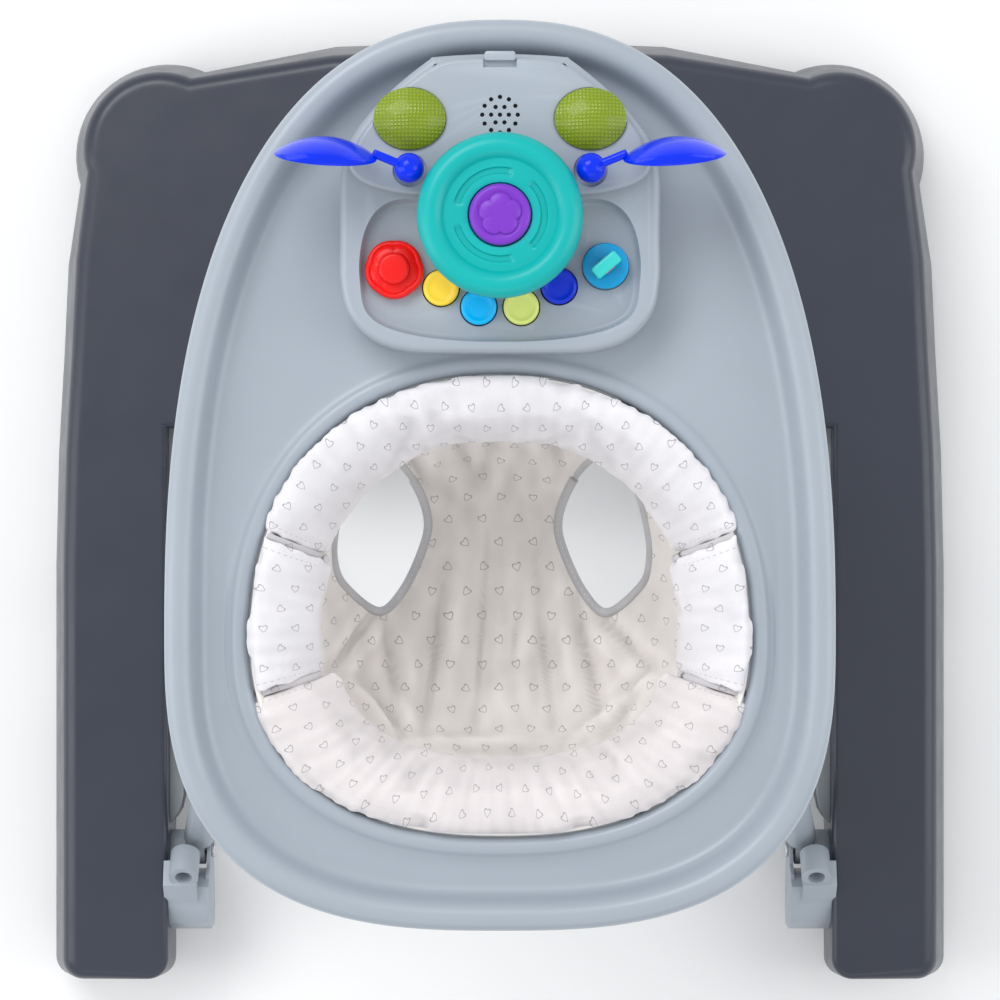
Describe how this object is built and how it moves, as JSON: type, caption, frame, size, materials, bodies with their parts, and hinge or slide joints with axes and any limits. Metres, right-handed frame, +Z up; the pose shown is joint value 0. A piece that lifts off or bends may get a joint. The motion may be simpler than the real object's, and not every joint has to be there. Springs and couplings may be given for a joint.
{
  "type": "baby walker",
  "caption": "Folding baby walker: wheeled U-shaped base, scissor frame, egg-shaped tray with a toy panel and a hanging padded seat with leg openings.",
  "frame": {"origin": "centre of the footprint on the floor, under the wheels", "axes": "+Y to the front of the walker, +Z up, +X to its right as the child sits facing the front"},
  "size_m": [0.646, 0.679, 0.5132],
  "materials": {
    "base_plastic": "glossy dark grey moulded plastic",
    "rail_plastic": "warm grey moulded plastic",
    "bracket_plastic": "light grey moulded plastic",
    "black_plastic": "black plastic",
    "pad_rubber": "black rubber",
    "steel": "steel",
    "tube_paint": "light grey powder coat on steel tube",
    "tyre_plastic": "dark wheel plastic",
    "tray_plastic": "satin blue-grey moulded plastic",
    "fabric_white": "white woven fabric with small grey heart outlines",
    "lens_green": "translucent green lens with a fine grid",
    "board_green": "circuit board",
    "turquoise": "turquoise plastic",
    "horn_purple": "purple plastic",
    "red": "red plastic",
    "yellow": "yellow plastic",
    "cyan": "light blue plastic",
    "lime": "lime plastic",
    "blue": "blue plastic",
    "dial_blue": "teal blue plastic",
    "key_aqua": "aqua plastic",
    "mirror_blue": "translucent blue plastic",
    "mirror_face": "toy mirror film"
  },
  "bodies": {
    "base": {"base_shell": "base_plastic", "base_skirt": "base_plastic", "rail_left": "rail_plastic", "rail_right": "rail_plastic", "rear_bracket_left": "bracket_plastic", "rear_bracket_right": "bracket_plastic", "rear_pivot_pins": "steel", "caster_sockets": "black_plastic", "grip_pads": "pad_rubber", "bracket_screws": "steel"},
    "outer_legs": {"leg_tube_left": "tube_paint", "leg_tube_right": "tube_paint", "knuckle_left": "bracket_plastic", "knuckle_right": "bracket_plastic", "leg_glides": "black_plastic"},
    "inner_struts": {"strut_tube_left": "tube_paint", "strut_tube_right": "tube_paint", "strut_crossbar": "tube_paint", "strut_ends": "black_plastic", "strut_glides": "rail_plastic", "centre_pins": "steel"},
    "tray": {"tray_shell": "tray_plastic", "tray_channel_left": "black_plastic", "tray_channel_right": "black_plastic", "tray_pivot_blocks": "black_plastic", "tray_pivot_pins": "steel", "seat": "fabric_white", "seat_clips": "black_plastic", "panel_shell": "tray_plastic", "light_lenses": "lens_green", "speaker": "black_plastic", "circuit_board": "board_green", "battery_box": "black_plastic", "ignition_dial": "dial_blue"},
    "latch": {"panel_latch": "tray_plastic"},
    "steering": {"steering_wheel": "turquoise", "steering_column": "black_plastic"},
    "horn": {"horn_button": "horn_purple"},
    "knob": {"flower_knob": "red"},
    "key": {"ignition_key": "key_aqua"},
    "note_yellow": {"note_button_yellow": "yellow"},
    "note_cyan": {"note_button_cyan": "cyan"},
    "note_lime": {"note_button_lime": "lime"},
    "note_blue": {"note_button_blue": "blue"},
    "mirror_left": {"mirror_left": "mirror_blue", "mirror_glass_left": "mirror_face"},
    "mirror_right": {"mirror_right": "mirror_blue", "mirror_glass_right": "mirror_face"},
    "caster_front_left": {"fork_front_left": "black_plastic", "spindle_front_left": "steel"},
    "wheels_front_left": {"wheel_front_left": "tyre_plastic"},
    "caster_front_right": {"fork_front_right": "black_plastic", "spindle_front_right": "steel"},
    "wheels_front_right": {"wheel_front_right": "tyre_plastic"},
    "caster_rear_left": {"fork_rear_left": "black_plastic", "spindle_rear_left": "steel"},
    "wheels_rear_left": {"wheel_rear_left": "tyre_plastic"},
    "caster_rear_right": {"fork_rear_right": "black_plastic", "spindle_rear_right": "steel"},
    "wheels_rear_right": {"wheel_rear_right": "tyre_plastic"}
  },
  "joints": [
    {"name": "fold", "type": "hinge", "parent": "base", "child": "outer_legs", "pos_m": [0, -0.245, 0.06], "axis": [-1, 0, 0], "range_deg": [0, 42]},
    {"name": "strut_fold", "type": "hinge", "parent": "outer_legs", "child": "inner_struts", "pos_m": [0, -0.10709, 0.23651], "axis": [-1, 0, 0], "range_deg": [-84, 0]},
    {"name": "tray_level", "type": "hinge", "parent": "inner_struts", "child": "tray", "pos_m": [0, -0.23207, 0.39648], "axis": [-1, 0, 0], "range_deg": [0, 42]},
    {"name": "swivel_front_left", "type": "hinge", "parent": "base", "child": "caster_front_left", "pos_m": [-0.245, 0.27, 0.05], "axis": [0, 0, 1], "continuous": true},
    {"name": "roll_front_left", "type": "hinge", "parent": "caster_front_left", "child": "wheels_front_left", "pos_m": [-0.245, 0.258, 0.02], "axis": [1, 0, 0], "continuous": true},
    {"name": "swivel_front_right", "type": "hinge", "parent": "base", "child": "caster_front_right", "pos_m": [0.245, 0.27, 0.05], "axis": [0, 0, 1], "continuous": true},
    {"name": "roll_front_right", "type": "hinge", "parent": "caster_front_right", "child": "wheels_front_right", "pos_m": [0.245, 0.258, 0.02], "axis": [1, 0, 0], "continuous": true},
    {"name": "swivel_rear_left", "type": "hinge", "parent": "base", "child": "caster_rear_left", "pos_m": [-0.28, -0.292, 0.05], "axis": [0, 0, 1], "continuous": true},
    {"name": "roll_rear_left", "type": "hinge", "parent": "caster_rear_left", "child": "wheels_rear_left", "pos_m": [-0.28, -0.304, 0.02], "axis": [1, 0, 0], "continuous": true},
    {"name": "swivel_rear_right", "type": "hinge", "parent": "base", "child": "caster_rear_right", "pos_m": [0.28, -0.292, 0.05], "axis": [0, 0, 1], "continuous": true},
    {"name": "roll_rear_right", "type": "hinge", "parent": "caster_rear_right", "child": "wheels_rear_right", "pos_m": [0.28, -0.304, 0.02], "axis": [1, 0, 0], "continuous": true},
    {"name": "steer", "type": "hinge", "parent": "tray", "child": "steering", "pos_m": [0, 0.175, 0.48], "axis": [0, 0, 1], "continuous": true},
    {"name": "horn_press", "type": "slide", "parent": "steering", "child": "horn", "axis": [0, 0, -1], "range_m": [0, 0.003], "stiffness_N_per_m": 300},
    {"name": "knob_turn", "type": "hinge", "parent": "tray", "child": "knob", "pos_m": [-0.0635, 0.145, 0.46], "axis": [0, 0, 1], "continuous": true},
    {"name": "key_turn", "type": "hinge", "parent": "tray", "child": "key", "pos_m": [0.0635, 0.147, 0.46], "axis": [0, 0, 1], "range_deg": [-45, 45]},
    {"name": "press_yellow", "type": "slide", "parent": "tray", "child": "note_yellow", "axis": [0, 0, -1], "range_m": [0, 0.002], "stiffness_N_per_m": 300},
    {"name": "press_cyan", "type": "slide", "parent": "tray", "child": "note_cyan", "axis": [0, 0, -1], "range_m": [0, 0.002], "stiffness_N_per_m": 300},
    {"name": "press_lime", "type": "slide", "parent": "tray", "child": "note_lime", "axis": [0, 0, -1], "range_m": [0, 0.002], "stiffness_N_per_m": 300},
    {"name": "press_blue", "type": "slide", "parent": "tray", "child": "note_blue", "axis": [0, 0, -1], "range_m": [0, 0.002], "stiffness_N_per_m": 300},
    {"name": "latch_press", "type": "slide", "parent": "tray", "child": "latch", "axis": [0, -1, 0], "range_m": [0, 0.003], "stiffness_N_per_m": 300},
    {"name": "mirror_swivel_left", "type": "hinge", "parent": "tray", "child": "mirror_left", "pos_m": [-0.054, 0.2035, 0.482], "axis": [0, 0, 1], "range_deg": [-15, 20]},
    {"name": "mirror_swivel_right", "type": "hinge", "parent": "tray", "child": "mirror_right", "pos_m": [0.054, 0.2035, 0.482], "axis": [0, 0, 1], "range_deg": [-20, 15]}
  ],
  "couplings": [
    {"joint": "strut_fold", "follows": "fold", "ratio": -2},
    {"joint": "tray_level", "follows": "fold", "ratio": 1}
  ]
}
